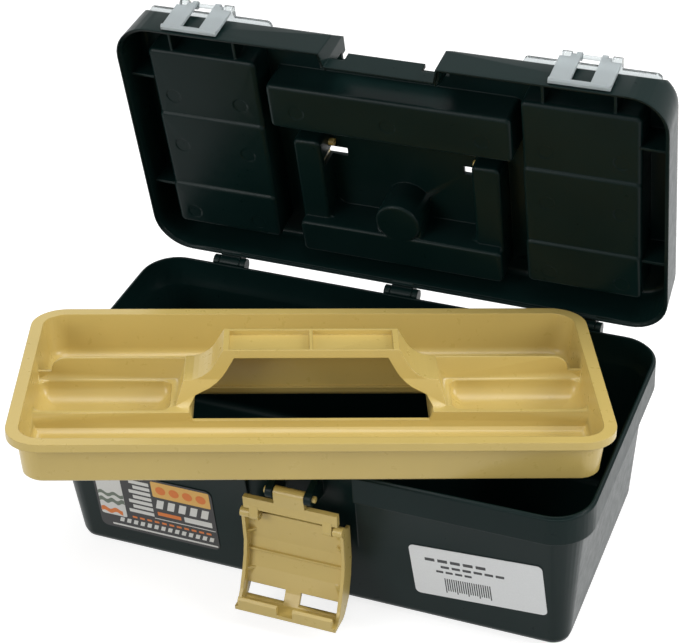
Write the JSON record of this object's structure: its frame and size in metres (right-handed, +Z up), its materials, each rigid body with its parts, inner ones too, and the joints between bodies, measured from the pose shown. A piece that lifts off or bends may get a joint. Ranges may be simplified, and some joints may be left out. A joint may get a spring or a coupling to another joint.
{
  "type": "tackle box",
  "caption": "Small plastic tackle box: tub, hinged organiser lid with clear covers, lift-out tray with arched grip, carrying handle and drop-down latch.",
  "frame": {"origin": "centre of the tub's underside, on the table", "axes": "+X along the box to the right seen from the latch, +Y to the hinges, +Z up"},
  "size_m": [0.3304, 0.2748, 0.2705],
  "materials": {
    "body_plastic": "satin moulded polypropylene, very dark green",
    "tray_plastic": "satin moulded polypropylene, sand yellow",
    "clear_plastic": "clear, slightly milky moulded plastic",
    "printed_paper": "gloss printed label in black, white and orange",
    "white_paper": "matt white label"
  },
  "bodies": {
    "tub": {"base_tub": "body_plastic", "label_left": "printed_paper", "label_right": "white_paper"},
    "lid": {"lid_shell": "body_plastic"},
    "tray": {"lift_out_tray": "tray_plastic"},
    "latch_link": {"latch_link": "tray_plastic"},
    "latch_plate": {"latch_plate": "tray_plastic"},
    "handle": {"carry_handle": "tray_plastic"},
    "cover_l": {"cover_left": "clear_plastic"},
    "cover_r": {"cover_right": "clear_plastic"},
    "clip_l": {"clip_left": "clear_plastic"},
    "clip_r": {"clip_right": "clear_plastic"}
  },
  "joints": [
    {"name": "lid_hinge", "type": "hinge", "parent": "tub", "child": "lid", "pos_m": [0, 0.0857, 0.0988], "axis": [1, 0, 0], "range_deg": [0, 81]},
    {"name": "tray_take_off", "type": "slide", "parent": "tub", "child": "tray", "axis": [0, -0.9397, 0.342], "range_m": [0, 0.2502]},
    {"name": "latch_link_hinge", "type": "hinge", "parent": "tub", "child": "latch_link", "pos_m": [0, -0.0865, 0.085], "axis": [1, 0, 0], "range_deg": [-90, 0]},
    {"name": "latch_plate_hinge", "type": "hinge", "parent": "latch_link", "child": "latch_plate", "pos_m": [0, -0.087, 0.0665], "axis": [-1, 0, 0], "range_deg": [0, 173.2]},
    {"name": "handle_hinge", "type": "hinge", "parent": "lid", "child": "handle", "pos_m": [0, 0.09643, 0.18828], "axis": [1, 0, 0], "range_deg": [0, 90]},
    {"name": "cover_left_hinge", "type": "hinge", "parent": "lid", "child": "cover_l", "pos_m": [-0.11, 0.11026, 0.10482], "axis": [-1, 0, 0], "range_deg": [0, 110]},
    {"name": "cover_right_hinge", "type": "hinge", "parent": "lid", "child": "cover_r", "pos_m": [0.11, 0.11026, 0.10482], "axis": [-1, 0, 0], "range_deg": [0, 110]},
    {"name": "clip_left_hinge", "type": "hinge", "parent": "cover_l", "child": "clip_l", "pos_m": [-0.11, 0.08814, 0.26817], "axis": [-1, 0, 0], "range_deg": [0, 90]},
    {"name": "clip_right_hinge", "type": "hinge", "parent": "cover_r", "child": "clip_r", "pos_m": [0.11, 0.08814, 0.26817], "axis": [-1, 0, 0], "range_deg": [0, 90]}
  ],
  "couplings": [
    {"joint": "tray_take_off", "follows": "lid_hinge", "m_per_rad": 0.17684},
    {"joint": "latch_plate_hinge", "follows": "lid_hinge", "ratio": 2.1358}
  ]
}
